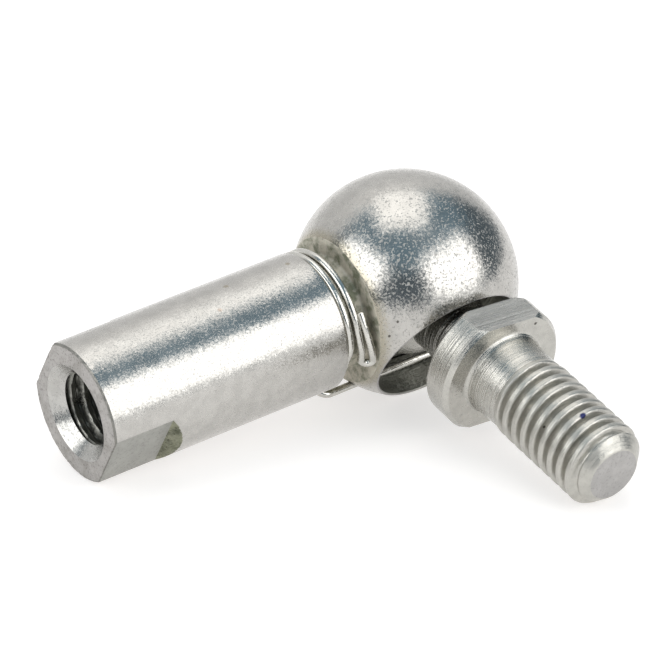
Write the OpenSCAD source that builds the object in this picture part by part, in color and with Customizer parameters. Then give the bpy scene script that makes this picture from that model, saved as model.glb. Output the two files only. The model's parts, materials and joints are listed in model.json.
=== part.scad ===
// Angle ball joint: a threaded ball stud held in a ball socket with a threaded shank.
// A split snap ring inside the mouth keeps the ball in, and a bent spring wire,
// clipped round the neck, crosses the mouth beside the stud as a second catch.
// The joint lies at rest on its head, the end of its shank and the end of its stud.
// Each socket piece is drawn with the ball centre at the origin, the shank along -X
// and the mouth facing -Z. The stud is drawn with its axis along -Z.

/* [Thread] */
// Nominal diameter of both threads
thread_d = 5; // [4:0.5:6]
// Diameter of the tapped hole's wall
tap_drill_d = 4.2; // [3.4:0.1:4.6]

/* [Ball stud] */
// Diameter of the ball
ball_d = 8; // [7.6:0.1:8.4]
// Diameter of the neck between ball and collar
neck_d = 4; // [3:0.1:4.2]
// Distance from the ball centre to the face that seats on the lever
seat_h = 9.2; // [8.8:0.1:11]
// Thickness of the collar
collar_h = 2; // [1.5:0.1:2.4]
// Diameter of the collar
collar_d = 7.8; // [7.6:0.1:9]
// Distance across the collar's two wrench flats
collar_flats = 6.6; // [6.4:0.1:7.4]
// Length of the threaded end, from the seating face to its tip
stud_len = 10; // [8:0.5:14]
// Length of the plain stretch next to the seating face
plain_len = 2.2; // [1:0.1:3]
// Diameter of the plain stretch where it meets the seating face
plain_d = 4.9; // [4.4:0.1:5]
// Diameter of the plain stretch where it meets the thread
relief_d = 4.7; // [4.2:0.1:4.9]
// Diameter of the flat tip
tip_d = 3.2; // [2.6:0.1:3.6]

/* [Socket] */
// Diameter of the round head
head_d = 12.8; // [12.2:0.1:14]
// Distance from the ball centre to the mouth's face
mouth_h = 4.5; // [4:0.1:4.8]
// Diameter of the mouth's opening
mouth_d = 8.8; // [8.5:0.1:8.9]
// Diameter of the shank
shank_d = 8; // [7.6:0.1:8.6]
// Distance from the ball centre to the shank's end
shank_reach = 22; // [18:0.5:30]
// Diameter of the groove's floor, behind the head
groove_d = 6.4; // [6:0.1:7]
// Diameter of the groove's edge on the round head
groove_edge_d = 8.5; // [8.2:0.1:9]
// Length of the groove, from that edge to the shank's shoulder
groove_len = 1.92; // [1.9:0.05:2.6]
// Bevel at the foot of the groove's square wall
groove_bevel = 0.15; // [0.1:0.05:0.3]
// Distance across the shank's two wrench flats
shank_flats = 6.8; // [6.4:0.1:7.2]
// Length of the wrench flats
flats_len = 3.7; // [2:0.1:6]
// Length of the cutter's run-out at the end of each flat
runout_len = 0.75; // [0.3:0.05:1.2]
// Depth of the tapped hole's straight wall
hole_depth = 11; // [8:0.5:13]
// Diameter of the countersink at the hole's mouth
countersink_d = 5.6; // [5.2:0.1:6]

/* [Snap ring] */
// Thickness of the snap ring's wire
ring_wire_d = 0.7; // [0.5:0.05:0.8]
// Distance from the ball centre down to the ring
ring_drop = 2; // [1.8:0.1:2.1]
// Width of the slit in the ring, as an angle
ring_slit = 40; // [20:5:80]

/* [Safety clip] */
// Thickness of the clip's wire
clip_wire_d = 0.45; // [0.4:0.05:0.55]
// Distance from the ball centre down to the wire that crosses the mouth
clip_drop = 3; // [2.8:0.05:3.3]
// How far the crossing wire runs past the ball centre
clip_past = 3.8; // [3:0.1:4.5]
// Length of the wire's turned-back end
tail_len = 2.9; // [1:0.1:3.2]

/* [Fits] */
// Radial clearance of the ball in its socket
ball_play = 0.05; // [0.03:0.01:0.09]
// Clearance above and below the snap ring
ring_play = 0.05; // [0.03:0.01:0.07]
// Clearance round the clip's wire
clip_play = 0.03; // [0.02:0.01:0.05]

/* [Pose] */
// Swing of the stud from the mouth's axis
swing = 21; // [10:1:21]
// Turn of the stud about its own axis
stud_turn = 6; // [0:1:180]

/* [Hidden] */
$fn = 96;
zinc = [0.76, 0.77, 0.77];
wire_bright = [0.85, 0.86, 0.86];
spring_dark = [0.45, 0.45, 0.46];
over = 1;

// Ball stud, measured down from the ball centre
collar_top = seat_h - collar_h;
stud_reach = seat_h + stud_len;
tip_bevel = (thread_d - tip_d) / 2;
collar_bevel = 0.22;
bevel_rise = 0.28;
root_fillet = 0.3;

// Socket
cavity_r = ball_d / 2 + ball_play;
bore_r = cavity_r + ball_play;
lip_h = ring_drop + ring_wire_d / 2 + ring_play + 0.3;
// The ring must spread past the ball when the joint is snapped together
ring_groove_r = ball_d / 2 + ring_wire_d + ring_play;
ring_r = sqrt(pow(ball_d / 2 + ball_play + ring_wire_d / 2, 2) - pow(ring_drop, 2));
groove_from = sqrt(pow(head_d / 2, 2) - pow(groove_edge_d / 2, 2));
shoulder_reach = groove_from + groove_len;
flat_end = shank_reach - flats_len;
countersink_h = (countersink_d - tap_drill_d) / 2;
drill_angle = 118;

// Safety clip: two turns in the groove, flush with the shank. The first lies against the
// shoulder and dips to the groove's floor under the mouth's side of the neck.
turn_r = shank_d / 2 - clip_wire_d / 2 - 0.02;
dip_r = groove_d / 2 + clip_wire_d / 2 + clip_play;
turn_1 = shoulder_reach - clip_wire_d / 2 - clip_play;
turn_gap = 0.13;
turn_2 = turn_1 - clip_wire_d - turn_gap;
bend_r = 0.7;
// The turned-back end lies along the groove's wall, its loop raised so that it can be gripped
tail_at = groove_from + clip_wire_d / 2 + clip_play;
loop_r = (clip_wire_d + turn_gap) / 2;
loop_lean = turn_2 - tail_at - 2 * loop_r;
loop_at = 617;
loop_lift = 0.35;
tail_slant = 0.4;
tail_turn = tail_len / turn_r * 180 / PI;
clip_hole_r = clip_wire_d / 2 + clip_play;
wire_sides = 12;

// Angles at which the joint lies on a flat floor
head_r = head_d / 2;
shank_dip = lie_angle(shank_reach, shank_d / 2);
stud_dip = min(lie_angle(stud_reach, tip_d / 2), lie_angle(stud_reach - tip_bevel, thread_d / 2));
stud_roll = asin(sin(stud_dip) / cos(shank_dip)) - 90;
socket_roll = stud_roll + swing;
// The origin lies under the middle of the joint's outline on the floor
left_reach = shank_reach * cos(shank_dip) + shank_d / 2 * sin(shank_dip);
stud_side = 90 + stud_roll;
front_reach = stud_reach * cos(stud_side) + tip_d / 2 * sin(stud_side);
ball_at = [(left_reach - head_r) / 2, (front_reach - head_r) / 2, head_r];

// Dip at which a round end of radius r, at this reach from the ball, meets the floor
function lie_angle(reach, r) = asin(head_d / 2 / norm([reach, r])) - atan(r / reach);

module place_socket() {
    translate(ball_at) rotate([socket_roll, -shank_dip, 0]) children();
}

module place_stud() {
    translate(ball_at) rotate([stud_roll, -shank_dip, 0]) children();
}

// A cylinder along X, from one reach to another behind the ball
module along_shank(from, to, r) {
    translate([-to, 0, 0]) rotate([0, 90, 0]) cylinder(h = to - from, r = r);
}

module wrench_flat() {
    rotate([90, 0, 0])
        linear_extrude(height = shank_d + 2 * over, center = true)
            polygon([
                [-shank_reach - over, shank_flats / 2],
                [-flat_end, shank_flats / 2],
                [-flat_end + runout_len, shank_d / 2],
                [-flat_end + runout_len, shank_d / 2 + over],
                [-shank_reach - over, shank_d / 2 + over]
            ]);
}

module tapped_hole() {
    bottom = shank_reach - countersink_h - hole_depth;
    point_h = tap_drill_d / 2 / tan(drill_angle / 2);
    along_shank(bottom, shank_reach + over, tap_drill_d / 2);
    translate([-bottom, 0, 0])
        rotate([0, 90, 0]) cylinder(h = point_h, r1 = tap_drill_d / 2, r2 = 0);
    translate([-shank_reach - over, 0, 0])
        rotate([0, 90, 0])
            cylinder(h = countersink_h + over, r1 = countersink_d / 2 + over, r2 = tap_drill_d / 2);
}

module ball_seat() {
    sphere(r = cavity_r);
    translate([0, 0, -mouth_h - over]) cylinder(h = mouth_h + over, r = bore_r);
    // Wider mouth below the lip that holds the snap ring
    translate([0, 0, -mouth_h - over]) cylinder(h = mouth_h + over - lip_h, r = mouth_d / 2);
    translate([0, 0, -ring_drop - ring_wire_d / 2 - ring_play])
        cylinder(h = ring_wire_d + 2 * ring_play, r = ring_groove_r);
}

module wall_bevel() {
    translate([-groove_from, 0, 0])
        rotate([0, -90, 0])
            cylinder(h = groove_bevel, r1 = groove_d / 2 + groove_bevel, r2 = groove_d / 2);
}

module ball_socket() {
    color(zinc)
        place_socket()
            difference() {
                union() {
                    difference() {
                        intersection() {
                            sphere(r = head_r);
                            translate([0, 0, -mouth_h]) cylinder(h = mouth_h + head_d, r = head_d);
                        }
                        along_shank(groove_from, head_d, head_r);
                    }
                    wall_bevel();
                    along_shank(0, shoulder_reach + over, groove_d / 2);
                    along_shank(shoulder_reach, shank_reach, shank_d / 2);
                }
                ball_seat();
                tapped_hole();
                wrench_flat();
                mirror([0, 0, 1]) wrench_flat();
                // Cross hole for the clip's wire
                translate([-head_d, turn_r, -clip_drop])
                    rotate([0, 90, 0]) cylinder(h = 2 * head_d, r = clip_hole_r);
            }
}

module stud_profile() {
    polygon([
        [0, 0],
        [neck_d / 2, 0],
        [neck_d / 2, -collar_top],
        [collar_d / 2 - collar_bevel, -collar_top],
        [collar_d / 2, -collar_top - bevel_rise],
        [collar_d / 2, -seat_h + bevel_rise],
        [collar_d / 2 - collar_bevel, -seat_h],
        [plain_d / 2 + root_fillet, -seat_h],
        [plain_d / 2, -seat_h - root_fillet],
        [relief_d / 2, -seat_h - plain_len],
        [thread_d / 2, -seat_h - plain_len - (thread_d - relief_d) / 2],
        [thread_d / 2, -stud_reach + tip_bevel],
        [tip_d / 2, -stud_reach],
        [0, -stud_reach]
    ]);
}

module ball_stud() {
    color(zinc)
        place_stud()
            difference() {
                union() {
                    sphere(r = ball_d / 2);
                    rotate_extrude() stud_profile();
                }
                for (side = [0, 180])
                    rotate([0, 0, side + stud_turn])
                        translate([-collar_d, collar_flats / 2, -seat_h - over])
                            cube([2 * collar_d, collar_d, collar_h + 2 * over]);
            }
}

module snap_ring() {
    color(spring_dark)
        place_socket()
            translate([0, 0, -ring_drop])
                difference() {
                    rotate_extrude() translate([ring_r, 0]) circle(d = ring_wire_d);
                    linear_extrude(height = 2 * ring_wire_d, center = true)
                        polygon([
                            [0, 0],
                            2 * ring_r * [cos(-ring_slit / 2), sin(-ring_slit / 2)],
                            2 * ring_r * [cos(ring_slit / 2), sin(ring_slit / 2)]
                        ]);
                }
}

// Points of the clip's centre line, each as [x, radius, angle] round the shank's axis,
// with the angle from the side of the crossing wire, over the back of the head
function smooth_step(f) = f < 0 ? 0 : f > 1 ? 1 : f * f * (3 - 2 * f);
function turn_x(angle) =
    -turn_1
    + (turn_1 - turn_2) * smooth_step((angle - 265) / 70)
    + loop_lean * smooth_step((angle - loop_at + 30) / 30);
function turn_dip(angle) = smooth_step((angle - 238) / 22) * (1 - smooth_step((angle - 315) / 40));
function on_turn(angle) =
    let (r = turn_r - (turn_r - dip_r) * turn_dip(angle))
    [turn_x(angle), r * cos(angle), r * sin(angle)];
function on_loop(g) =
    let (x = -turn_2 + loop_lean + loop_r * (1 - cos(g)))
    let (r = turn_r + loop_lift * smooth_step(g / 180))
    let (angle = loop_at + loop_r * sin(g) / turn_r * 180 / PI)
    [x, r * cos(angle), r * sin(angle)];
function on_tail(f) =
    let (x = -tail_at - tail_slant * f * (2 - f))
    let (r = turn_r + loop_lift * (1 - smooth_step(f)))
    let (angle = loop_at - tail_turn * f)
    [x, r * cos(angle), r * sin(angle)];
function on_bend(g) =
    [-turn_1 + bend_r * (1 - sin(g)), turn_r, -clip_drop + bend_r * (1 - cos(g))];

clip_line = concat(
    [[clip_past, turn_r, -clip_drop], [0, turn_r, -clip_drop]],
    [for (g = [0:15:90]) on_bend(g)],
    [for (angle = [0:9:loop_at - 5]) on_turn(angle)],
    [for (g = [0:20:180]) on_loop(g)],
    [for (f = [0.2:0.2:1]) on_tail(f)]
);

// Direction across the wire at each point: outwards from the shank's axis
function outward(p, flat) = flat ? [0, 1, 0] : [0, p[1], p[2]] / norm([p[1], p[2]]);
function along(line, i) =
    let (n = len(line))
    let (d = line[min(i + 1, n - 1)] - line[max(i - 1, 0)])
    d / norm(d);
function wire_ring(line, i, straight) =
    let (t = along(line, i))
    let (o = outward(line[i], i < straight))
    let (b = cross(t, o) / norm(cross(t, o)))
    let (u = cross(b, t))
    [for (k = [0:wire_sides - 1])
        line[i] + clip_wire_d / 2 * (cos(360 * k / wire_sides) * u + sin(360 * k / wire_sides) * b)];

module wire(line, straight) {
    n = len(line);
    points = [for (i = [0:n - 1]) each wire_ring(line, i, straight)];
    sides = [for (i = [0:n - 2], k = [0:wire_sides - 1])
        let (a = i * wire_sides + k, b = i * wire_sides + (k + 1) % wire_sides)
        each [[a, a + wire_sides, b], [b, a + wire_sides, b + wire_sides]]];
    first = [for (k = [0:wire_sides - 1]) k];
    last = [for (k = [wire_sides - 1:-1:0]) (n - 1) * wire_sides + k];
    polyhedron(points = points, faces = concat([first], sides, [last]));
}

module safety_clip() {
    color(wire_bright)
        place_socket()
            wire(clip_line, 9);
}

ball_socket();
ball_stud();
safety_clip();
snap_ring();
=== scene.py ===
import json
import math
import bmesh
import bpy
from mathutils import Matrix, Vector


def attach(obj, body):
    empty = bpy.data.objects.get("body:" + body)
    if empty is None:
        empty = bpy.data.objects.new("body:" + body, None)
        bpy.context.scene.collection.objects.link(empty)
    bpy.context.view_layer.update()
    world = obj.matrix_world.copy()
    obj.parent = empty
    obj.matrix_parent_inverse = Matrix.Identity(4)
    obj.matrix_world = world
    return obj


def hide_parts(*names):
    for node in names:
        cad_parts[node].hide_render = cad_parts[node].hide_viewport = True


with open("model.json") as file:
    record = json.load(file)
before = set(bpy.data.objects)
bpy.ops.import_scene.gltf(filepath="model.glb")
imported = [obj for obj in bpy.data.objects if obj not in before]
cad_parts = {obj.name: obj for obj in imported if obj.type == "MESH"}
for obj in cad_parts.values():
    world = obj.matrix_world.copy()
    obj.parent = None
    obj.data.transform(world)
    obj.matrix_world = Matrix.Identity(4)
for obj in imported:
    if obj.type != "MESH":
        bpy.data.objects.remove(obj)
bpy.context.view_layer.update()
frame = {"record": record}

MM = 0.001
TAU = 2 * math.pi

# ---------------------------------------------------------------- frame
record = frame["record"]
mounts = {m["name"]: m for m in record["mounts"]}
joints = {j["name"]: j for j in record["behaviour"]["joints"]}
ball = Vector(joints["stud_swing"]["pos_m"])
shank_dir = Vector(mounts["shank_thread"]["axis"]).normalized()
stud_dir = Vector(mounts["stud_thread"]["axis"]).normalized()
mouth_dir = Vector(joints["ring_turn"]["axis"]).normalized()


def local_matrix(down):
    """Ball centre at the origin, shank along -X, and the given direction along -Z."""
    x = -shank_dir
    z = -(down - down.dot(x) * x).normalized()
    y = z.cross(x)
    m = Matrix((x, y, z)).transposed().to_4x4()
    m = Matrix.Translation(ball) @ m @ Matrix.Scale(MM, 4)
    return m


SOCKET = local_matrix(mouth_dir)
STUD = local_matrix(stud_dir)

# ---------------------------------------------------------------- camera
# Place of the camera round the ball, in degrees and millimetres
cam_azimuth = -125.9
cam_elevation = 25.4
cam_roll = 1.62
cam_distance = 280.5
cam_left = 3.85
cam_down = 3.01
view_angle = 7.69


def direction(azimuth, elevation):
    """The unit vector at an azimuth and an elevation in degrees."""
    a, e = math.radians(azimuth), math.radians(elevation)
    return Vector((math.cos(e) * math.cos(a), math.cos(e) * math.sin(a), math.sin(e)))


def make_camera():
    back = direction(cam_azimuth, cam_elevation)
    level = Vector((0, 0, 1)).cross(back).normalized()
    right = Matrix.Rotation(math.radians(cam_roll), 3, back) @ level
    up = back.cross(right)
    data = bpy.data.cameras.new("camera")
    data.sensor_fit = 'HORIZONTAL'
    data.sensor_width = 36
    data.lens = data.sensor_width / 2 / math.tan(math.radians(view_angle / 2))
    data.clip_start = 0.01
    camera = bpy.data.objects.new("camera", data)
    place = ball + (back * cam_distance - right * cam_left - up * cam_down) * MM
    camera.matrix_world = Matrix.Translation(place) @ Matrix((right, up, back)).transposed().to_4x4()
    bpy.context.scene.collection.objects.link(camera)
    bpy.context.scene.camera = camera


make_camera()
bpy.context.scene.view_settings.view_transform = 'Standard'


# ---------------------------------------------------------------- node helpers
class Tree:
    """Short calls for building a node tree."""

    def __init__(self, tree):
        self.t = tree

    def node(self, kind, **values):
        n = self.t.nodes.new(kind)
        for k, v in values.items():
            setattr(n, k, v)
        return n

    def link(self, a, b):
        self.t.links.new(a, b)

    def put(self, socket, value):
        if hasattr(value, "is_output"):
            self.link(value, socket)
        else:
            socket.default_value = value

    def math(self, op, a, b, clamp=False):
        n = self.node("ShaderNodeMath", operation=op, use_clamp=clamp)
        self.put(n.inputs[0], a)
        self.put(n.inputs[1], b)
        return n.outputs[0]

    def size_of(self, a):
        n = self.node("ShaderNodeMath", operation='ABSOLUTE')
        self.link(a, n.inputs[0])
        return n.outputs[0]

    def dot(self, a, b):
        n = self.node("ShaderNodeVectorMath", operation='DOT_PRODUCT')
        self.put(n.inputs[0], a)
        self.put(n.inputs[1], b)
        return n.outputs["Value"]

    def ramp(self, value, low, high, a=0.0, b=1.0, smooth=True):
        n = self.node("ShaderNodeMapRange", interpolation_type='SMOOTHSTEP' if smooth else 'LINEAR')
        self.put(n.inputs["Value"], value)
        n.inputs["From Min"].default_value = low
        n.inputs["From Max"].default_value = high
        n.inputs["To Min"].default_value = a
        n.inputs["To Max"].default_value = b
        return n.outputs["Result"]

    def mix(self, factor, a, b):
        n = self.node("ShaderNodeMix", data_type='RGBA')
        self.put(n.inputs[0], factor)
        self.put(n.inputs[6], a)
        self.put(n.inputs[7], b)
        return n.outputs[2]

    def noise(self, vector, scale, detail=2.0, rough=0.5):
        n = self.node("ShaderNodeTexNoise")
        self.link(vector, n.inputs["Vector"])
        n.inputs["Scale"].default_value = scale
        n.inputs["Detail"].default_value = detail
        n.inputs["Roughness"].default_value = rough
        return n.outputs["Fac"]

    def bump(self, height, strength, distance, normal):
        n = self.node("ShaderNodeBump")
        n.inputs["Strength"].default_value = strength
        n.inputs["Distance"].default_value = distance
        self.put(n.inputs["Height"], height)
        self.link(normal, n.inputs["Normal"])
        return n.outputs["Normal"]


# ---------------------------------------------------------------- studio
def make_world():
    w = bpy.data.worlds.new("studio")
    bpy.context.scene.world = w
    w.use_nodes = True
    t = Tree(w.node_tree)
    bg = w.node_tree.nodes["Background"]
    d = t.node("ShaderNodeTexCoord").outputs["Generated"]
    sep = t.node("ShaderNodeSeparateXYZ")
    t.link(d, sep.inputs[0])
    up = sep.outputs["Z"]

    room = (0.115, 0.15, 0.178, 1)
    high = (0.22, 0.325, 0.40, 1)
    wall = (0.88, 0.88, 0.88, 1)
    wall_top = (1.2, 1.19, 1.18, 1)
    # Dark room in front of the object, pale wall behind it, a light overhead
    color = t.mix(t.ramp(up, 0.45, 0.75), room, high)
    behind = t.dot(d, tuple(direction(77, 0)))
    back = t.mix(t.ramp(up, 0.4, 0.8), wall, wall_top)
    color = t.mix(t.ramp(behind, 0.42, 0.68), color, back)
    safe_up = t.math('MAXIMUM', up, 0.05)
    px = t.math('DIVIDE', sep.outputs["X"], safe_up)
    py = t.math('DIVIDE', sep.outputs["Y"], safe_up)
    # A long panel overhead, turned in plan by the cosine and sine below
    turn_c, turn_s, offset = 0.83, 0.55, 0.08
    across = t.math('ADD', t.math('MULTIPLY', px, turn_c), t.math('MULTIPLY', py, -turn_s))
    u = t.size_of(t.math('ADD', across, offset))
    v = t.math('ADD', t.math('MULTIPLY', px, turn_s), t.math('MULTIPLY', py, turn_c))
    mask = t.math('MULTIPLY', t.ramp(u, 0.30, 0.46, 1, 0), t.ramp(v, -0.24, -0.08))
    mask = t.math('MULTIPLY', mask, t.ramp(v, 0.55, 1.1, 1, 0))
    color = t.mix(mask, color, (2.0, 1.98, 1.94, 1))

    def softbox(color, azimuth, elevation, half_w, half_h, light, soft=0.15):
        """A soft-edged square light in the given direction, its half sides in degrees."""
        c = direction(azimuth, elevation)
        side = Vector((0, 0, 1)).cross(c).normalized()
        top = c.cross(side)
        ahead = t.dot(d, tuple(c))
        safe = t.math('MAXIMUM', ahead, 0.01)
        u = t.size_of(t.math('DIVIDE', t.dot(d, tuple(side)), safe))
        v = t.size_of(t.math('DIVIDE', t.dot(d, tuple(top)), safe))
        hw, hh = math.tan(math.radians(half_w)), math.tan(math.radians(half_h))
        sides = t.ramp(u, hw - soft, hw + soft, 1, 0)
        mask = t.math('MULTIPLY', sides, t.ramp(v, hh - soft, hh + soft, 1, 0))
        mask = t.math('MULTIPLY', mask, t.ramp(ahead, 0.02, 0.1))
        return t.mix(mask, color, light)

    color = softbox(color, -67, 28, 30, 23, (2.7, 2.69, 2.67, 1))
    color = softbox(color, 177, 29, 28, 16, (3.0, 2.99, 2.97, 1))
    t.link(color, bg.inputs["Color"])
    bg.inputs["Strength"].default_value = 1.0


make_world()


def make_floor(half=3.0):
    mesh = bpy.data.meshes.new("floor")
    mesh.from_pydata([(-half, -half, 0), (half, -half, 0), (half, half, 0),
                      (-half, half, 0)], [], [(0, 1, 2, 3)])
    floor = bpy.data.objects.new("floor", mesh)
    bpy.context.scene.collection.objects.link(floor)
    material = bpy.data.materials.new("floor")
    material.use_nodes = True
    shader = material.node_tree.nodes["Principled BSDF"]
    shader.inputs["Base Color"].default_value = (0.56, 0.545, 0.54, 1)
    shader.inputs["Emission Color"].default_value = (1.0, 0.985, 0.97, 1)
    shader.inputs["Emission Strength"].default_value = 0.58
    shader.inputs["Roughness"].default_value = 0.7
    shader.inputs["Specular IOR Level"].default_value = 0.1
    mesh.materials.append(material)


make_floor()

# ---------------------------------------------------------------- sizes, in millimetres
# Socket sizes, as in the CAD source
head_r = 6.4
cavity_r = 4.05
bore_r = 4.1
mouth_r = 4.4
mouth_h = 4.5
shank_r = 4.0
groove_r = 3.2
groove_edge_r = 4.25
groove_from = math.sqrt(head_r ** 2 - groove_edge_r ** 2)
shoulder = groove_from + 1.92
reach = 22.0
flat_f = 3.4
flat_end = 18.3
runout = 0.75
hole_r = 2.1
thread_r = 2.5
pitch = 0.8
sink_r = 2.8
hole_depth = 11.0
tapped = 4.8
groove_round = 0.2
shoulder_round = 0.12
edge_round = 0.1
bore_end = 2.7

# Snap ring and its slot in the mouth
slot_from = 1.6
slot_to = 2.4
slot_r = 4.75
ring_wire_r = 0.35
ring_drop = 2.0
ring_gap = 40

# Stud sizes
ball_r = 4.0
neck_r = 2.0
collar_top = 7.2
seat = 9.2
collar_r = 3.9
collar_f = 3.3
stud_turn = math.radians(6)
plain_r = 2.45
relief_r = 2.35
thread_start = 11.4
tip_t = 19.2
tip_r = 1.6
bevel_t = 18.3
minor_r = 2.0
run_in = 0.7
neck_round = 0.15
neck_from = 3.7
seat_round = 0.3
bevel_width = 0.22
bevel_height = 0.28
tip_round = 0.06

# Clip, its turns and the loop at its end
wire_r = 0.225
clip_play = 0.03
turn_gap = 0.13
turn_r = shank_r - wire_r - 0.02
dip_r = groove_r + wire_r + clip_play
turn_1 = shoulder - wire_r - clip_play
turn_2 = turn_1 - 2 * wire_r - turn_gap
clip_drop = 3.0
clip_past = 3.8
bend_r = 0.7
tail_at = groove_from + wire_r + clip_play
loop_r = (2 * wire_r + turn_gap) / 2
lean = turn_2 - tail_at - 2 * loop_r
loop_at = 617
loop_lift = 0.35
tail_slant = 0.4
tail_turn = math.degrees(2.9 / turn_r)
clip_hole_r = 0.255


# ---------------------------------------------------------------- materials
def base_material(name, color, rough):
    m = bpy.data.materials.new(name)
    m.use_nodes = True
    t = Tree(m.node_tree)
    b = m.node_tree.nodes["Principled BSDF"]
    b.inputs["Metallic"].default_value = 1.0
    b.inputs["Base Color"].default_value = (*color, 1)
    b.inputs["Roughness"].default_value = rough
    return m, t, b


def polar(axis, t, radius, a):
    """Local coordinates of a point, t along -X or -Z, a in radians."""
    c, s = radius * math.cos(a), radius * math.sin(a)
    return (-t, c, s) if axis == 'x' else (c, s, -t)


def at(matrix, axis, t, radius, angle):
    """A point in the object's coordinates, from its place along a piece, its radius and its angle."""
    return matrix @ Vector(polar(axis, t, radius, math.radians(angle)))


def zinc_plate(name, color=(0.50, 0.488, 0.463), rough=0.19, tilt=0.075, cell=8500, axis=None, turning=0.0,
               specks=True, marks=(), grain=0.5, lumps=0.10, metallic=1.0, painted_reflection=None, dirt_and_shade=None):
    """Bright zinc plate: small crystal facets, soft blotches, dark specks, optional turning marks.
    marks: (point, radius in mm, colour, softness) of single stains and pits.
    grain: share of matte crystals. dirt_and_shade: colour of blotches all over the surface, painted shade on
    the groove wall.
    painted_reflection: (direction, from, to, colour), a painted reflection in a band, in mm from the ball's
    centre."""
    m, t, b = base_material(name, color, rough)
    p = t.node("ShaderNodeTexCoord").outputs["Object"]
    n = t.node("ShaderNodeNewGeometry").outputs["Normal"]

    def vec(op, a, b=None):
        v = t.node("ShaderNodeVectorMath", operation=op)
        t.link(a, v.inputs[0])
        if b is not None:
            t.put(v.inputs[1], b)
        return v.outputs[0]

    def scaled(a, factor):
        v = t.node("ShaderNodeVectorMath", operation='SCALE')
        t.link(a, v.inputs[0])
        v.inputs["Scale"].default_value = factor
        return v.outputs[0]

    for size, amount in ((cell, tilt), (cell * 2.3, tilt * 0.8)):
        f = t.node("ShaderNodeTexVoronoi")
        f.inputs["Scale"].default_value = size
        t.link(p, f.inputs["Vector"])
        facet = vec('SUBTRACT', f.outputs["Color"], (0.5, 0.5, 0.5))
        n = vec('ADD', n, scaled(facet, amount))
    n = vec('NORMALIZE', n)
    coarse = t.noise(p, 1500, 3, 0.55)
    blotch = t.noise(p, 320, 3, 0.6)
    n = t.bump(coarse, lumps, 0.00008, n)
    if axis is not None and turning > 0:
        along = t.dot(p, tuple(axis))
        rings = t.node("ShaderNodeCombineXYZ")
        t.link(along, rings.inputs[0])
        lines = t.noise(rings.outputs[0], 9000, 3, 0.7)
        n = t.bump(lines, turning, 0.00004, n)
    t.link(n, b.inputs["Normal"])
    r = t.ramp(blotch, 0.3, 0.7, rough * 0.85, rough * 1.25, smooth=False)
    crystal = t.noise(p, cell * 0.85, 1, 0.6)
    matte = t.math('MULTIPLY', t.ramp(crystal, 0.54, 0.70), grain)
    r = t.math('ADD', r, t.math('MULTIPLY', matte, 0.6), clamp=True)
    t.link(r, b.inputs["Roughness"])
    b.inputs["Metallic"].default_value = metallic
    dark = tuple(c * 0.9 for c in color) + (1,)
    col = t.mix(t.ramp(coarse, 0.35, 0.65), dark, (*color, 1))
    if specks:
        v = t.node("ShaderNodeTexVoronoi")
        v.inputs["Scale"].default_value = 420
        t.link(p, v.inputs["Vector"])
        cell_noise = t.noise(v.outputs["Position"], 900, 0)
        near = t.ramp(v.outputs["Distance"], 0.03, 0.055, 1, 0)
        chosen = t.ramp(cell_noise, 0.66, 0.67)
        col = t.mix(t.math('MULTIPLY', near, chosen), col, (0.09, 0.085, 0.075, 1))
    ragged = t.math('MULTIPLY', t.math('SUBTRACT', t.noise(p, 6000, 2), 0.5), 0.00012)
    # Blotches all over the surface: painted shade on the groove wall, the surface's own blotches elsewhere.
    if dirt_and_shade is not None:
        col = t.mix(t.ramp(t.noise(p, 1100, 4, 0.65), 0.42, 0.66), col, (*dirt_and_shade, 1))
    # A band along the given direction, coloured as a painted reflection.
    if painted_reflection is not None:
        way, low, high, painted_reflection_color = painted_reflection
        depth = t.math('SUBTRACT', t.dot(p, tuple(way)), way.dot(ball))
        depth = t.math('ADD', depth, t.math('MULTIPLY', ragged, 4))
        col = t.mix(t.ramp(depth, low * MM, high * MM), col, (*painted_reflection_color, 1))
    for point, radius, mark_color, soft in marks:
        away = t.node("ShaderNodeVectorMath", operation='DISTANCE')
        t.link(p, away.inputs[0])
        away.inputs[1].default_value = tuple(point)
        edge = t.math('ADD', away.outputs["Value"], ragged)
        inside = t.ramp(edge, radius * MM * (1 - soft), radius * MM * (1 + soft), 1, 0)
        col = t.mix(inside, col, (*mark_color, 1))
    t.link(col, b.inputs["Base Color"])
    return m


TAN = (0.36, 0.33, 0.27)
PIT = (0.10, 0.095, 0.085)
BLUE = (0.03, 0.035, 0.10)
EARTH = (0.45, 0.38, 0.33)


def on_head(lean, turn):
    """A point on the head, by its lean from the shank's axis and its turn round it."""
    a = math.radians(lean)
    return at(SOCKET, 'x', head_r * math.cos(a), head_r * math.sin(a), turn)


def on_shank(t, turn):
    """A point on the shank, by its distance from the ball's centre and its turn."""
    return at(SOCKET, 'x', t, shank_r, turn)


# Single stains and pits, in rounded places
edge_lean = math.degrees(math.asin(groove_edge_r / head_r))
socket_marks = [
    (on_head(edge_lean, 130), 0.08, TAN, 0.5),
    (on_head(edge_lean, 136), 0.08, TAN, 0.5),
    (on_head(edge_lean + 5, 235), 0.07, PIT, 0.4),
    (on_head(edge_lean + 10, 225), 0.07, PIT, 0.4),
    (on_shank(shoulder + 1, 147), 0.13, TAN, 0.6),
    (on_shank(shoulder + 5, 145), 0.14, TAN, 0.6),
    (on_shank(shoulder + 6.5, 168), 0.12, EARTH, 0.7),
]
stud_marks = [(at(STUD, 'z', seat, 3.3, 307), 0.09, PIT, 0.4)]
thread_marks = [(at(STUD, 'z', 16.6, thread_r - 0.05, 262), 0.19, BLUE, 0.3)]
shank_mat = zinc_plate("zinc_socket", marks=socket_marks, cell=12500)
# The head's tan band next to the groove's edge is a painted reflection.
head_mat = zinc_plate("zinc_round", marks=socket_marks, cell=9500, grain=0.85,
                      painted_reflection=(shank_dir, 4.2, 4.75, (0.38, 0.355, 0.29)))
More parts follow.
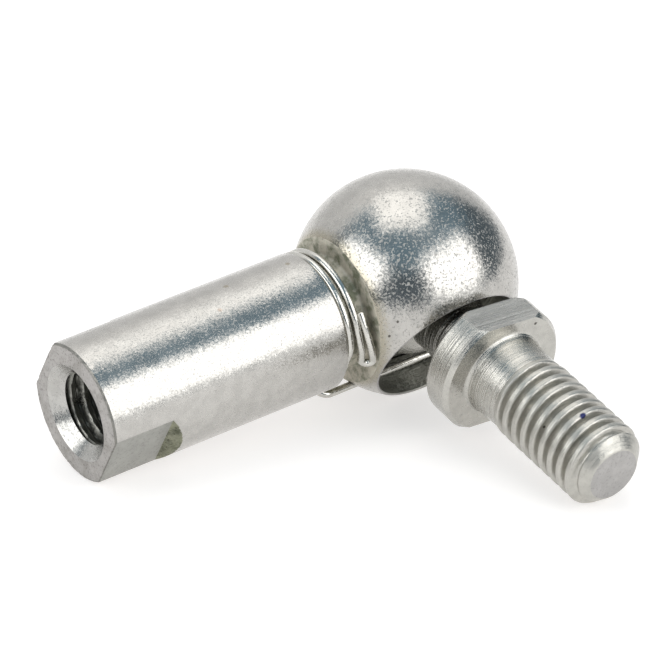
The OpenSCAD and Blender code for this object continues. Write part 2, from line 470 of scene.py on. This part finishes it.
# The groove wall's dark green blotches are painted shade in the groove.
groove_mat = zinc_plate("groove_wall", color=(0.56, 0.525, 0.44), rough=0.45, tilt=0.2, metallic=0.4,
                        specks=False, marks=socket_marks[:2], dirt_and_shade=(0.19, 0.20, 0.14))
wrench_mat = zinc_plate("wrench_flat", color=(0.355, 0.355, 0.33), rough=0.34, tilt=0.07, specks=False)
runout_mat = zinc_plate("flat_runout", color=(0.27, 0.275, 0.20), rough=0.4, tilt=0.3, grain=0.8,
                        specks=False, dirt_and_shade=(0.11, 0.115, 0.08))
sink_mat = zinc_plate("countersink", color=(0.48, 0.475, 0.455), rough=0.2, tilt=0.05, axis=shank_dir,
                      turning=0.6, specks=False)
edge_mat = zinc_plate("cut_edge", color=(0.26, 0.255, 0.235), rough=0.45, tilt=0.3, specks=False)
thread_mat = zinc_plate("zinc_thread", color=(0.50, 0.49, 0.452), rough=0.34, tilt=0.06, axis=stud_dir,
                        turning=0.9, lumps=0.5, grain=0.35, marks=thread_marks)
stud_mat = zinc_plate("zinc_stud", color=(0.51, 0.50, 0.465), rough=0.17, tilt=0.045, axis=stud_dir,
                      turning=1.3, grain=0.3, marks=stud_marks)
flat_mat = zinc_plate("milled_flat", color=(0.455, 0.45, 0.43), rough=0.36, tilt=0.06, axis=stud_dir,
                      turning=4.0, specks=False)
face_mat = zinc_plate("cut_face", color=(0.43, 0.42, 0.41), rough=0.38, tilt=0.14, lumps=0.3, specks=False)
end_mat = zinc_plate("end_face", color=(0.41, 0.395, 0.38), rough=0.36, tilt=0.16, lumps=0.9, grain=0.8,
                     specks=False, dirt_and_shade=(0.30, 0.288, 0.27))
bore_mat = zinc_plate("rough_bore", color=(0.29, 0.29, 0.26), rough=0.32, tilt=0.2, axis=mouth_dir,
                      turning=1.0, specks=False)
tap_mat = zinc_plate("tapped_wall", color=(0.27, 0.27, 0.245), rough=0.3, tilt=0.1, specks=False)
wire_mat = zinc_plate("spring_wire", color=(0.62, 0.61, 0.57), rough=0.12, tilt=0.05, specks=False)
ring_mat = zinc_plate("ring_wire", color=(0.25, 0.25, 0.24), rough=0.3, tilt=0.05, specks=False)


# ---------------------------------------------------------------- meshes
def to_object(name, verts, faces, materials, matrix, smooth_angle, face_mats=None):
    mesh = bpy.data.meshes.new(name)
    mesh.from_pydata([tuple(matrix @ Vector(v)) for v in verts], [], faces)
    for m in materials:
        mesh.materials.append(m)
    if face_mats is not None:
        mesh.polygons.foreach_set("material_index", face_mats)
    bm = bmesh.new()
    bm.from_mesh(mesh)
    bmesh.ops.remove_doubles(bm, verts=bm.verts, dist=1e-7)
    bmesh.ops.dissolve_degenerate(bm, edges=bm.edges, dist=1e-8)
    bmesh.ops.recalc_face_normals(bm, faces=bm.faces)
    bm.to_mesh(mesh)
    bm.free()
    finish_mesh(mesh, smooth_angle)
    o = bpy.data.objects.new(name, mesh)
    bpy.context.scene.collection.objects.link(o)
    return o


def finish_mesh(mesh, smooth_angle):
    mesh.polygons.foreach_set("use_smooth", [True] * len(mesh.polygons))
    mesh.set_sharp_from_angle(angle=math.radians(smooth_angle))
    mesh.update()


def lathe(name, rows, segments, materials, matrix, axis, smooth_angle):
    """rows: [(t, radius or function of angle, material)], from pole to pole. t runs along -X or -Z.
    A row with radius 0 is a pole."""
    verts, faces, mats, ring = [], [], [], []

    for t, r, _ in rows:
        if not callable(r) and r == 0:
            ring.append([len(verts)])
            verts.append(polar(axis, t, 0, 0))
            continue
        ring.append(list(range(len(verts), len(verts) + segments)))
        for k in range(segments):
            a = TAU * k / segments
            verts.append(polar(axis, t, r(a) if callable(r) else r, a))
    for i in range(len(rows) - 1):
        a, b = ring[i], ring[i + 1]
        mat = rows[i + 1][2]
        for k in range(segments):
            k2 = (k + 1) % segments
            if len(a) == 1:
                faces.append((a[0], b[k], b[k2]))
            elif len(b) == 1:
                faces.append((a[k], a[k2], b[0]))
            else:
                faces.append((a[k], a[k2], b[k2], b[k]))
            mats.append(mat)
    return to_object(name, verts, faces, materials, matrix, smooth_angle, mats)


def cut(target, cutter, smooth_angle):
    """Take the cutter out of the target; the walls keep the cutter's materials."""
    mod = target.modifiers.new("cut", 'BOOLEAN')
    mod.operation = 'DIFFERENCE'
    mod.solver = 'EXACT'
    mod.object = cutter
    if hasattr(mod, "material_mode"):
        mod.material_mode = 'TRANSFER'
    deps = bpy.context.evaluated_depsgraph_get()
    new = bpy.data.meshes.new_from_object(target.evaluated_get(deps))
    target.modifiers.clear()
    old = target.data
    target.data = new
    bpy.data.meshes.remove(old)
    bpy.data.objects.remove(cutter)
    finish_mesh(new, smooth_angle)


def arc(cx, cr, radius, a0, a1, n):
    """Points (t, r) of an arc, angles in degrees from the +t direction."""
    out = []
    for i in range(n + 1):
        a = math.radians(a0 + (a1 - a0) * i / n)
        out.append((cx + radius * math.cos(a), cr + radius * math.sin(a)))
    return out


def shank_flat(t, r):
    """Radius limit of the two wrench flats, whose normals lie along the local Z axis."""
    def limit(a):
        if t < flat_end - runout:
            return r
        d = flat_f if t >= flat_end else flat_f + (flat_end - t) / runout * (shank_r - flat_f)
        s = abs(math.sin(a))
        return min(r, d / s) if s > 1e-6 else r
    return limit


def thread_hole(t):
    """Radius of the tapped hole at t, as a function of the angle; the thread fades at the mouth."""
    def radius(a):
        u = (t / pitch + a / TAU) % 1.0
        fade = min(1.0, max(0.0, (reach + 0.05 - t) / 0.3))
        # crest of the female thread is the hole's wall
        if u < 0.3:
            k = 0.0
        elif u < 0.6:
            k = (u - 0.3) / 0.3
        elif u < 0.7:
            k = 1.0
        else:
            k = (1.0 - u) / 0.3
        return hole_r + (thread_r - 0.06 - hole_r) * k * fade
    return radius


def rough_edge(limit):
    """The cut edge wavers inwards by a few hundredths of a millimetre."""
    def wavy(a):
        wide = 0.035 * abs(math.sin(11 * a + 1) * math.sin(29 * a))
        return limit(a) - wide - 0.02 * abs(math.sin(53 * a + 2))
    return wavy


def build_socket():
    rows = [(-head_r, 0, 0)]
    end_a = math.degrees(math.asin(groove_edge_r / head_r)) + 0.4
    for t, r in arc(0, 0, head_r, 180, end_a, 130)[1:]:
        rows.append((t, r, 0))
    # The groove's square wall, its floor and the shank's shoulder
    g = groove_from
    rows.append((g, groove_edge_r - 0.03, 2))
    rows.append((g, groove_edge_r - 0.5, 2))
    for t, r in arc(g + groove_round, groove_r + groove_round, groove_round, 180, 270, 6):
        rows.append((t, r, 2))
    for t, r in arc(shoulder - shoulder_round, groove_r + shoulder_round, shoulder_round, 270, 360, 4):
        rows.append((t, r, 2))
    rows.append((shoulder, shank_r - edge_round, 2))
    for t, r in arc(shoulder + edge_round, shank_r - edge_round, edge_round, 180, 90, 4)[1:]:
        rows.append((t, r, 0))
    steps = 24
    for i in range(1, steps):
        t = shoulder + edge_round + (flat_end - runout - 0.02 - shoulder - edge_round) * i / steps
        rows.append((t, shank_r, 0))
    rows.append((flat_end - runout - 0.02, shank_r, 0))
    for i in range(0, 15):
        t = flat_end - runout * (1 - i / 14)
        rows.append((t, shank_flat(t, shank_r), 0))
    for i in range(1, 13):
        t = flat_end + 0.02 + (reach - edge_round - flat_end - 0.02) * i / 12
        rows.append((t, shank_flat(t, shank_r), 0))
    for t, r in arc(reach - edge_round, shank_r - edge_round, edge_round, 90, 0, 3)[1:]:
        rows.append((t, rough_edge(shank_flat(t, r)), 6))
    for i in range(1, 5):
        r = shank_r - edge_round + (sink_r - shank_r + edge_round) * i / 4
        rows.append((reach, shank_flat(reach, r), 5))
    for i in range(1, 5):
        k = i / 4
        rows.append((reach - (sink_r - hole_r) * k, sink_r + (hole_r - sink_r) * k, 7))
    t = reach - (sink_r - hole_r)
    stop = t - tapped
    while t > stop:
        t -= 0.05
        rows.append((t, thread_hole(t), 8))
    bottom = reach - (sink_r - hole_r) - hole_depth
    rows.append((bottom, hole_r, 8))
    rows.append((bottom - hole_r / math.tan(math.radians(59)), 0, 8))
    mats = [shank_mat, head_mat, groove_mat, wrench_mat, runout_mat, end_mat, edge_mat, sink_mat, tap_mat]
    socket = lathe("socket_body", rows, 288, mats, SOCKET, 'x', 28)
    # The head, the flats and their run-outs get their own materials
    inv = SOCKET.inverted()
    rot = inv.to_3x3()
    for p in socket.data.polygons:
        if p.material_index != 0:
            continue
        t = -(inv @ p.center).x
        nrm = (rot @ p.normal).normalized()
        if t < groove_from:
            p.material_index = 1
        elif t > flat_end and abs(nrm.z) > 0.998:
            p.material_index = 3
        elif t > flat_end - runout and abs(nrm.x) > 0.35 and abs(nrm.z) > 0.6:
            p.material_index = 4

    # Cavity, snap ring groove and mouth
    rows = [(-cavity_r, 0, 0)]
    for t, r in arc(0, 0, cavity_r, 180, 90, 48)[1:]:
        rows.append((t, r, 0))
    rows += [(0.02, bore_r, 0), (slot_from, bore_r, 0), (slot_from, slot_r, 0), (slot_to, slot_r, 0)]
    rows += [(slot_to, bore_r, 0), (bore_end, bore_r, 0), (bore_end, mouth_r, 0), (3.3, mouth_r, 0)]
    rows += [(3.9, mouth_r, 0), (mouth_h - 0.06, mouth_r, 0), (mouth_h, mouth_r + 0.05, 0)]
    past = 8.0
    rows += [(mouth_h, past, 1), (past, past, 1), (past, 0, 1)]
    cutter = lathe("mouth_cutter", rows, 256, [bore_mat, face_mat], SOCKET, 'z', 28)
    cut(socket, cutter, 28)

    # Cross hole for the clip's wire
    hole_from, hole_to = -9.0, 6.2
    place = SOCKET @ Matrix.Translation((0, turn_r, -clip_drop))
    rows = [(hole_from, 0, 0), (hole_from, clip_hole_r, 0), (hole_to, clip_hole_r, 0), (hole_to, 0, 0)]
    cutter = lathe("hole_cutter", rows, 32, [bore_mat], place, 'x', 28)
    cut(socket, cutter, 28)
    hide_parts("ball_socket")
    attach(socket, "socket")


def collar_flat(r):
    def limit(a):
        s = abs(math.cos(a - math.pi / 2 - stud_turn))
        return min(r, collar_f / s) if s > 1e-6 else r
    return limit


def build_stud():
    rows = [(-ball_r, 0, 0)]
    end = math.degrees(math.asin(neck_r / ball_r))
    for t, r in arc(0, 0, ball_r, 180, end + 1.5, 96)[1:]:
        rows.append((t, r, 0))
    neck_t = ball_r * math.cos(math.radians(end)) + 0.18
    for t, r in arc(neck_t, neck_r + neck_round, neck_round, 200, 270, 4):
        rows.append((t, r, 0))
    for i in range(1, 9):
        rows.append((neck_from + (collar_top - neck_round - neck_from) * i / 8, neck_r, 0))
    for t, r in arc(collar_top - neck_round, neck_r + neck_round, neck_round, 270, 360, 4)[1:]:
        rows.append((t, r, 0))
    rows.append((collar_top, collar_flat(3.0), 0))
    inner = collar_r - bevel_width
    rows.append((collar_top, collar_flat(inner), 0))
    for i in range(1, 4):
        rows.append((collar_top + bevel_height * i / 3, collar_flat(inner + bevel_width * i / 3), 0))
    straight = seat - collar_top - 2 * bevel_height
    for i in range(1, 9):
        rows.append((collar_top + bevel_height + straight * i / 8, collar_flat(collar_r), 0))
    for i in range(1, 4):
        t = seat - bevel_height + bevel_height * i / 3
        rows.append((t, collar_flat(collar_r - bevel_width * i / 3), 0))
    rows.append((seat, collar_flat(3.2), 0))
    rows.append((seat, plain_r + seat_round, 0))
    for t, r in arc(seat + seat_round, plain_r + seat_round, seat_round, 180, 270, 6)[1:]:
        rows.append((t, r, 0))
    for i in range(1, 9):
        k = i / 8
        t = seat + seat_round + (thread_start + 0.25 - seat - seat_round) * k
        rows.append((t, plain_r + (relief_r - plain_r) * k, 0))
    rows.append((thread_start + 0.5, minor_r - 0.05, 0))
    rows.append((thread_start + 0.6, 0, 0))
    body = lathe("stud_body", rows, 288, [stud_mat, flat_mat], STUD, 'z', 26)
    # The flats' faces get the milled material
    inv = STUD.inverted()
    n_top = Vector((math.sin(stud_turn), -math.cos(stud_turn), 0))
    rot = inv.to_3x3()
    for p in body.data.polygons:
        c = inv @ p.center
        nrm = (rot @ p.normal).normalized()
        if collar_top - 0.01 < -c.z < seat + 0.01 and abs(nrm.dot(n_top)) > 0.999:
            p.material_index = 1

    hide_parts("ball_stud")
    return body


def build_thread():
    """The stud's M5 thread: the rows of its mesh follow the helix."""
    seg, per = 144, 16
    # A crest over 0.3 of the pitch, smooth flanks over 0.55 of it and a narrow root
    crest, flank, crown = 0.3, 0.55, 0.012
    prof = []
    for i in range(per):
        u = abs(((i / per + 0.5) % 1.0) - 0.5) * 2
        k = min(1.0, max(0.0, (u - crest) / flank))
        k = k * k * (3 - 2 * k)
        prof.append(thread_r - crown * u * u - (thread_r - minor_r) * k)
    turns = int((tip_t - thread_start) / pitch) + 3
    n_rows = per * turns
    verts, faces = [], []

    def limit(t):
        """The tip's bevel and the thread's run-in."""
        r = thread_r
        if t > bevel_t:
            r = min(r, thread_r + (tip_r - thread_r) * (t - bevel_t) / (tip_t - bevel_t))
        if t < thread_start + run_in:
            r = min(r, relief_r + (thread_r - relief_r) * max(0.0, (t - thread_start) / run_in))
        return r

    blend = 0.12
    for i in range(n_rows + 1):
        for j in range(seg):
            t = thread_start - pitch + pitch * (i / per + j / seg)
            tc = min(max(t, thread_start), tip_t)
            a, b = prof[i % per], limit(tc)
            r = min(a, b) - max(blend - abs(a - b), 0.0) ** 2 / (4 * blend)
            if tip_t - tc < tip_round:
                r -= tip_round - math.sqrt(max(0.0, tip_round ** 2 - (tip_round - tip_t + tc) ** 2))
            verts.append(polar('z', tc, r, -TAU * j / seg))
    for i in range(n_rows):
        for j in range(seg):
            if j < seg - 1:
                q = (i * seg + j, i * seg + j + 1, (i + 1) * seg + j + 1, (i + 1) * seg + j)
            else:
                if i + 1 + per > n_rows:
                    continue
                q = (i * seg + j, (i + per) * seg, (i + 1 + per) * seg, (i + 1) * seg + j)
            faces.append(q)
    thread = to_object("stud_thread", verts, faces, [thread_mat, face_mat], STUD, 40)
    bm = bmesh.new()
    bm.from_mesh(thread.data)
    flat_faces = [f for f in bm.faces if f.calc_area() < 1e-16]
    bmesh.ops.delete(bm, geom=flat_faces, context='FACES')
    edges = [e for e in bm.edges if e.is_boundary]
    bmesh.ops.holes_fill(bm, edges=edges, sides=0)
    bmesh.ops.recalc_face_normals(bm, faces=bm.faces)
    bm.to_mesh(thread.data)
    bm.free()
    finish_mesh(thread.data, 60)
    for p in thread.data.polygons:
        if len(p.vertices) > 8:
            p.use_smooth = False
            p.material_index = 1
    return thread


def clip_path():
    """The wire's middle: the crossing leg, the bend, two turns, the loop and its tail, angles in degrees."""
    def cd(a):
        return math.cos(math.radians(a))

    def sd(a):
        return math.sin(math.radians(a))

    def step(f):
        f = min(1, max(0, f))
        return f * f * (3 - 2 * f)

    pts = [(clip_past - 0.95 * clip_past * i / 6, turn_r, -clip_drop) for i in range(7)]
    pts += [(-1.0 * i, turn_r, -clip_drop) for i in range(0, 6)]
    for g in range(5, 91, 10):
        pts.append((-turn_1 + bend_r * (1 - sd(g)), turn_r, -clip_drop + bend_r * (1 - cd(g))))
    for a in range(0, loop_at - 5, 3):
        x = -turn_1 + (turn_1 - turn_2) * step((a - 265) / 70) + lean * step((a - loop_at + 30) / 30)
        r = turn_r - (turn_r - dip_r) * step((a - 238) / 22) * (1 - step((a - 315) / 40))
        pts.append((x, r * cd(a), r * sd(a)))
    for g in range(0, 181, 10):
        x = -turn_2 + lean + loop_r * (1 - cd(g))
        r = turn_r + loop_lift * step(g / 180)
        a = loop_at + math.degrees(loop_r * sd(g) / turn_r)
        pts.append((x, r * cd(a), r * sd(a)))
    for i in range(1, 13):
        f = i / 12
        x = -tail_at - tail_slant * f * (2 - f)
        r = turn_r + loop_lift * (1 - step(f))
        a = loop_at - tail_turn * f
        pts.append((x, r * cd(a), r * sd(a)))
    return [Vector(p) for p in pts]


def sweep(name, pts, radius, sides, mat, matrix):
    """A round wire along the points, its two ends slightly bevelled."""
    verts, faces = [], []
    n = len(pts)
    prev = None
    rings = []
    for i in range(n):
        a = pts[max(i - 1, 0)]
        b = pts[min(i + 1, n - 1)]
        t = (b - a).normalized()
        if prev is None:
            u = t.orthogonal().normalized()
        else:
            u = (prev - prev.dot(t) * t).normalized()
        prev = u
        v = t.cross(u)
        scales = [(0.0, 1.0)]
        if i == 0:
            scales = [(0.0, 0.82), (0.04, 1.0)]
        if i == n - 1:
            scales = [(-0.04, 1.0), (0.0, 0.82)]
        for off, s in scales:
            rings.append(len(verts))
            for k in range(sides):
                ang = TAU * k / sides
                verts.append(pts[i] + t * off + (u * math.cos(ang) + v * math.sin(ang)) * radius * s)
    for a, b in zip(rings, rings[1:]):
        for k in range(sides):
            k2 = (k + 1) % sides
            faces.append((a + k, a + k2, b + k2, b + k))
    faces.append(tuple(rings[0] + k for k in range(sides)))
    faces.append(tuple(rings[-1] + k for k in reversed(range(sides))))
    return to_object(name, verts, faces, [mat], matrix, 35)


def build_clip():
    wire = sweep("clip_wire", clip_path(), wire_r, 24, wire_mat, SOCKET)
    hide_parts("safety_clip")
    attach(wire, "socket")


def build_ring():
    r = math.sqrt((cavity_r + ring_wire_r) ** 2 - ring_drop ** 2)
    steps = 120
    pts = []
    for i in range(steps + 1):
        a = math.radians(ring_gap / 2 + (360 - ring_gap) * i / steps)
        pts.append(Vector((r * math.cos(a), r * math.sin(a), -ring_drop)))
    ring = sweep("retaining_ring", pts, ring_wire_r, 20, ring_mat, SOCKET)
    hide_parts("snap_ring")
    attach(ring, "ring")


build_socket()
for piece in (build_stud(), build_thread()):
    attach(piece, "stud")
build_clip()
build_ring()
